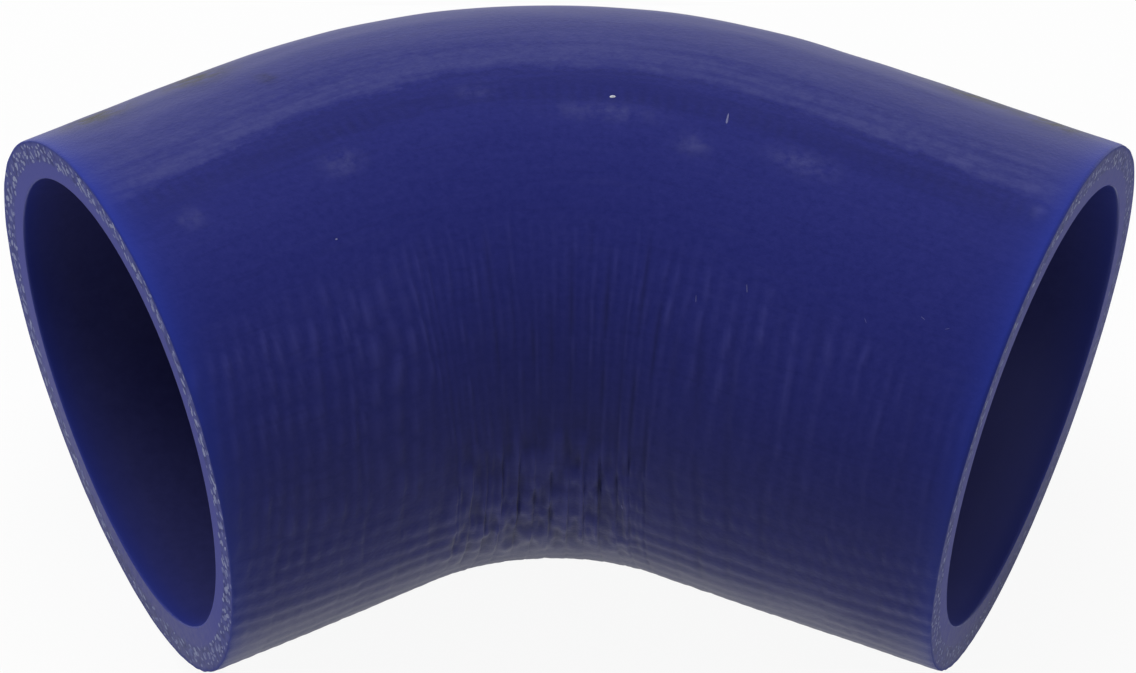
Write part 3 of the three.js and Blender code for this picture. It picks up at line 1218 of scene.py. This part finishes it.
def lens_points(centres, lengthwise, sideways, outwards):
    """The rim and the two tips of each lens."""
    turns = np.linspace(0, 2 * math.pi, LENS_SIDES, endpoint=False)
    rim = (
        centres[:, None]
        + lengthwise[:, None] * np.cos(turns)[None, :, None]
        + sideways[:, None] * np.sin(turns)[None, :, None]
    )
    tips = np.stack([centres + outwards, centres - outwards], axis=1)
    return np.concatenate([rim, tips], axis=1)


def lens_faces(count):
    """The triangles from each lens's rim to its two tips."""
    faces = []
    for side in range(LENS_SIDES):
        after = (side + 1) % LENS_SIDES
        faces.append((side, after, LENS_SIDES))
        faces.append((after, side, LENS_SIDES + 1))
    starts = np.arange(count) * (LENS_SIDES + 2)
    return (starts[:, None, None] + np.array(faces)).reshape(-1, 3)


def lenses(name, centres, lengthwise, sideways, outwards):
    """One mesh of closed lenses, each from its centre and its three half axes, in metres."""
    points = lens_points(centres, lengthwise, sideways, outwards)
    mesh = bpy.data.meshes.new(name)
    mesh.from_pydata(points.reshape(-1, 3).tolist(), [], lens_faces(len(centres)).tolist())
    mesh.update()
    made = bpy.data.objects.new(name, mesh)
    bpy.context.scene.collection.objects.link(made)
    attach(made, "root")
    return made


print("triangles of one lens:", len(lens_faces(1)))

# %% [markdown]
# A lens needs a place on the slanting cut, with one way along its ply and one out of the cut.
# They are found by asking for a point a little further on and taking the difference.

# %% Places on a cut
LENS_LIFT = 0.01  # mm that a lens's middle stands out of the cut


def on_the_cut(at_left, depth_in_wall, angle, lift):
    """Points on a mouth's cut, by their depth in the wall and their angle."""
    along = np.full(angle.shape, -lift if at_left else HOSE_LENGTH + lift)
    outer_out, outer_up = section(OUTSIDE_RADIUS, "outside", angle, along)
    inner_out, inner_up = section(BORE / 2, "bore", angle, along)
    out = inner_out + (outer_out - inner_out) * depth_in_wall
    up = inner_up + (outer_up - inner_up) * depth_in_wall
    return (placed(along, out, up) + to_packed) * MM


def unit(vectors):
    return vectors / np.linalg.norm(vectors, axis=-1, keepdims=True)


def cut_ways(at_left, depth_in_wall, angle):
    """Points on a cut, with the way along the ply and the way out of the cut at each."""
    centre = on_the_cut(at_left, depth_in_wall, angle, LENS_LIFT)
    along_ply = unit(on_the_cut(at_left, depth_in_wall, angle + 0.001, LENS_LIFT) - centre)
    outward = unit(on_the_cut(at_left, depth_in_wall, angle, 0.2) - centre)
    return centre, along_ply, outward


left_way = cut_ways(True, 0.5, np.zeros(1))[2]
print("the left cut faces:", np.round(left_way[0], 2))

# %% [markdown]
# In each ply one yarn waves along the cut as slanting strokes, and the cut ends of the others
# sit in its hollows. The maker's cloth sets their pitch, and lots set the rest: no stroke is
# quite like the next, and one in five was torn out by the knife.

# %% The yarn ends
PLY_DEPTHS = (0.49, 0.62, 0.74, 0.85)  # share of the wall, from the bore
PLY_SIZES = (0.8, 1.1, 0.95, 0.7)
YARN_PITCH = 6.6
YARN_WAVE = 0.2  # how far the waving yarn swings, in mm
STROKE_HALF = (0.66, 0.27, 0.03)  # half length, half width and height, in mm
END_HALF = (0.50, 0.32, 0.035)
STROKE_SLANT = 0.35
RIGHT_CUT_SIZE = 0.75  # the right cut's yarn ends are smaller
KEPT = 0.8


def yarn_angles(marks_rng, count):
    turn = (np.arange(count) + marks_rng.uniform(-0.25, 0.25, count)) / count
    return 2 * math.pi * (turn + marks_rng.uniform(0, 1))


def ply_marks(at_left, ply, depth_in_wall):
    """The centres and half axes of one ply's strokes and yarn ends on one cut."""
    marks_rng = np.random.default_rng(10 * ply + at_left)
    count = 4 * round(ROUND_MM / YARN_PITCH)
    angle = yarn_angles(marks_rng, count)
    kind = np.arange(count) % 4
    stroke = kind % 2 == 0
    swing = np.where(stroke, 0, np.where(kind == 1, -YARN_WAVE, YARN_WAVE)) / WALL
    here = depth_in_wall + swing + marks_rng.normal(0, 0.016, count)
    centre, along_ply, outward = cut_ways(at_left, here, angle)
    across = np.cross(outward, along_ply)
    slant = np.where(kind == 0, STROKE_SLANT, np.where(kind == 2, -STROKE_SLANT, 0))
    slant = slant + marks_rng.normal(0, 0.2, count)
    lengthwise = along_ply * np.cos(slant)[:, None] + across * np.sin(slant)[:, None]
    sideways = np.cross(outward, lengthwise)
    grown = PLY_SIZES[ply] * marks_rng.uniform(0.5, 1.2, count)
    grown = grown * (1.0 if at_left else RIGHT_CUT_SIZE)
    sizes = np.where(stroke[:, None], STROKE_HALF, END_HALF) * grown[:, None] * MM
    keep = marks_rng.uniform(0, 1, count) < KEPT
    axes = (centre, lengthwise * sizes[:, :1], sideways * sizes[:, 1:2], outward * sizes[:, 2:])
    return [values[keep] for values in axes]


all_marks = [ply_marks(side, ply, d) for side in (True, False) for ply, d in enumerate(PLY_DEPTHS)]
yarn_ends = lenses("yarn_ends", *[np.concatenate(parts) for parts in zip(*all_marks)])
print("yarn ends:", sum(len(one_ply[0]) for one_ply in all_marks))

# %% [markdown]
# Polyester is white, but silicone has soaked into most of these yarns. So their colour goes
# from pale to nearly the cut's own blue, from one end to the next.

# %% The yarns' finish
YARN_PALE = (0.33, 0.365, 0.59)
YARN_SOAKED = (0.12, 0.14, 0.41)


def yarn_material():
    material, tree, shader = new_material("polyester_yarn")
    where = place_in_metres(tree)
    soaked = ranged(tree, noise(tree, where, 700, 2), 0.35, 0.62)
    link(tree, mixed(tree, soaked, YARN_PALE, YARN_SOAKED), shader.inputs["Base Color"])
    shader.inputs["Roughness"].default_value = 0.6
    shader.inputs["Specular IOR Level"].default_value = 0.3
    fine_bump(tree, shader, noise(tree, where, 5000, 2), 0.3, 0.00003)
    return material


yarn_ends.data.materials.append(yarn_material())
print("finish of the yarn ends:", yarn_ends.data.materials[0].name)

# %% [markdown]
# The hose has been handled. A grain of white dust sits on its back, the skin is nicked in two or
# three places so that the torn lips show pale, and a few bits of lint cling to the long leg. Each
# is a small lens lying on the skin, because a painted one would cast no shadow. It is placed by
# its distance along the hose in millimetres and its angle round it in degrees.

# %% Dust, nicks and lint
WEAR_MARKS = (  # along, angle, half length, half width, height, turn, paleness
    (60.5, 90.0, 0.38, 0.20, 0.12, 100, 1.0),
    (74.0, 91.5, 1.10, 0.12, 0.04, 8, 0.25),
    (22.0, 112.5, 0.14, 0.10, 0.05, 80, 0.3),
    (97.7, 123.5, 0.40, 0.04, 0.02, 40, 0.03),
    (103.7, 119.5, 0.30, 0.04, 0.02, 70, 0.08),
    (106.7, 120.0, 0.28, 0.04, 0.02, 120, 0.04),
    (83.7, 125.0, 0.70, 0.05, 0.03, 20, 0.15),
    (78.5, 130.0, 0.60, 0.05, 0.03, 15, 0.1),
    (71.7, 181.5, 0.80, 0.10, 0.06, 10, 0.15),
)


def on_the_skin(along, angle, lift=0.0):
    out, up = section(OUTSIDE_RADIUS, "outside", angle, along)
    height = relief(along, angle) + lift
    point = placed(along, out + height * np.cos(angle), up + height * np.sin(angle))
    return (point + to_packed) * MM


marks = np.array(WEAR_MARKS)
mark_along, mark_angle = marks[:, 0], np.radians(marks[:, 1])
mark_centre = on_the_skin(mark_along, mark_angle, 0.02)
mark_out = unit(on_the_skin(mark_along, mark_angle, 1.0) - mark_centre)
down = unit(on_the_skin(mark_along, mark_angle + 0.004) - mark_centre)
level_way = np.cross(mark_out, down)
mark_turn = np.radians(marks[:, 5])[:, None]
mark_long = down * np.cos(mark_turn) + level_way * np.sin(mark_turn)
mark_side = np.cross(mark_out, mark_long)
print("marks of wear:", len(marks))

# %% Lay the marks on the skin
SKIN_TORN = (0.060, 0.065, 0.260)
DUST_WHITE = (0.66, 0.67, 0.76)


def wear_material():
    material, tree, shader = new_material("dust_and_torn_skin")
    uneven = ranged(tree, noise(tree, place_in_metres(tree), 1500, 2), 0.3, 0.7, 0.6, 1.0)
    paleness = times(tree, mark(tree, "paleness"), uneven)
    link(tree, mixed(tree, paleness, SKIN_TORN, DUST_WHITE), shader.inputs["Base Color"])
    shader.inputs["Roughness"].default_value = 0.8
    return material


wear = lenses(
    "dust_and_nicks",
    mark_centre,
    mark_long * marks[:, 2:3] * MM,
    mark_side * marks[:, 3:4] * MM,
    mark_out * marks[:, 4:5] * MM,
)
attribute(wear.data, "paleness", np.repeat(marks[:, 6], LENS_SIDES + 2))
wear.data.materials.append(wear_material())
print("longest mark, mm:", 2 * marks[:, 2].max())

# %% [markdown]
# A camera and a mirror should see the room as white, while the light that the room sheds stays
# plain. More lamps would whiten the room but bleach the hose too. Light Path tells a shader
# which kind of ray has met it, so both can be had.

# %% Which rays see plain white
def seen_directly(tree):
    """1 for rays that the camera sees or that gloss and glass reflect, 0 for scattered light."""
    path = node(tree, "ShaderNodeLightPath")
    seen = path.outputs["Is Camera Ray"]
    for ray in ("Is Glossy Ray", "Is Transmission Ray"):
        seen = reckoned(tree, "MAXIMUM", seen, path.outputs[ray])
    return seen


print("rays that see white: camera, glossy and transmission")

# %% [markdown]
# The floor is plain and nearly white. It is large, so it fills the view, and it mirrors as a soft
# white band on the hose's underside, which is what makes dark silicone readable. It is mostly
# plain white to the camera, and keeps a share of the real light so that the shadow stays.

# %% Floor
FLOOR_HALF = 6.0
FLOOR_WHITE = 0.9
FLOOR_GLOW = 0.93  # share of plain white that the camera and reflections see
CORNERS = ((-1, -1), (1, -1), (1, 1), (-1, 1))


def floor_material():
    material, tree, shader = new_material("white_floor")
    shader.inputs["Base Color"].default_value = (FLOOR_WHITE, FLOOR_WHITE, FLOOR_WHITE, 1)
    shader.inputs["Roughness"].default_value = 0.9
    shader.inputs["Specular IOR Level"].default_value = 0.1
    glow_white = node(tree, "ShaderNodeEmission", {"Strength": 1.0})
    share = node(tree, "ShaderNodeMath", {1: FLOOR_GLOW}, operation="MULTIPLY")
    link(tree, seen_directly(tree), share.inputs[0])
    blend = node(tree, "ShaderNodeMixShader")
    link(tree, share.outputs[0], blend.inputs["Fac"])
    link(tree, shader.outputs["BSDF"], blend.inputs[1])
    link(tree, glow_white.outputs["Emission"], blend.inputs[2])
    link(tree, blend.outputs["Shader"], tree.nodes["Material Output"].inputs["Surface"])
    return material


floor_mesh = bpy.data.meshes.new("floor")
floor_corners = [(x * FLOOR_HALF, y * FLOOR_HALF, hose_low.z) for x, y in CORNERS]
floor_mesh.from_pydata(floor_corners, [], [(0, 1, 2, 3)])
floor_mesh.materials.append(floor_material())
floor = bpy.data.objects.new("floor", floor_mesh)
bpy.context.scene.collection.objects.link(floor)
print("floor, metres across:", 2 * FLOOR_HALF)

# %% [markdown]
# One broad lamp hangs above and behind, as over a product table, and the pale room fills in the
# rest. Together they light a grey card to about the value that is written on it. The lamp is
# hidden from reflections, so it makes no highlight of its own; its broad reflection on the back
# of the hose is painted into the skin's colour.

# %% Light
ROOM_LIGHT = 0.145
LAMP_PLACE = (-0.2, 0.45, 1.1)
LAMP_SIZE = (1.2, 0.9)
LAMP_WATTS = 13.8

world = bpy.data.worlds.new("pale_room")
bpy.context.scene.world = world
world.use_nodes = True
room = world.node_tree
seen_white = ranged(room, seen_directly(room), 0, 1, ROOM_LIGHT, 1)
link(room, seen_white, room.nodes["Background"].inputs["Strength"])
room.nodes["Background"].inputs["Color"].default_value = (1, 1, 1, 1)

lamp = bpy.data.lights.new("overhead_softbox", "AREA")
lamp.shape = "RECTANGLE"
lamp.size, lamp.size_y = LAMP_SIZE
lamp.energy = LAMP_WATTS
softbox = bpy.data.objects.new("overhead_softbox", lamp)
softbox.location = LAMP_PLACE
softbox.rotation_euler = (-Vector(LAMP_PLACE)).to_track_quat("-Z", "Y").to_euler()
# hidden from reflections; its highlight on the hose's back is painted into the skin's colour
softbox.visible_glossy = False
bpy.context.scene.collection.objects.link(softbox)
print("lamp, watts:", LAMP_WATTS, "room's strength:", ROOM_LIGHT)

# %% [markdown]
# The camera is a long lens that looks down at the hose. It could be pushed about by hand until
# the picture fits. Here its height, its small turn and roll, and its distance were fitted to the
# outline of the hose in the photograph.

# %% Camera
CAMERA_TURN = math.radians(-4.918)
CAMERA_HEIGHT = math.radians(49.963)
CAMERA_ROLL = math.radians(2.384)
CAMERA_DISTANCE = 0.6271
LOOK_AT = Vector((-0.001267, -0.000033, 0.0325))
LENS = 169.67

back = Vector(
    (
        math.sin(CAMERA_TURN) * math.cos(CAMERA_HEIGHT),
        -math.cos(CAMERA_TURN) * math.cos(CAMERA_HEIGHT),
        math.sin(CAMERA_HEIGHT),
    )
)
level = Vector((math.cos(CAMERA_TURN), math.sin(CAMERA_TURN), 0))
upright = back.cross(level)
right = level * math.cos(CAMERA_ROLL) + upright * math.sin(CAMERA_ROLL)
above = upright * math.cos(CAMERA_ROLL) - level * math.sin(CAMERA_ROLL)
camera_data = bpy.data.cameras.new("photo_camera")
camera_data.lens = LENS
camera = bpy.data.objects.new("photo_camera", camera_data)
faces_back = Matrix((right, above, back)).transposed().to_4x4()
camera.matrix_world = Matrix.Translation(LOOK_AT + back * CAMERA_DISTANCE) @ faces_back
bpy.context.scene.collection.objects.link(camera)
bpy.context.scene.camera = camera
bpy.context.scene.view_settings.view_transform = "Standard"
print("camera at, mm:", [round(c / MM) for c in camera.location])
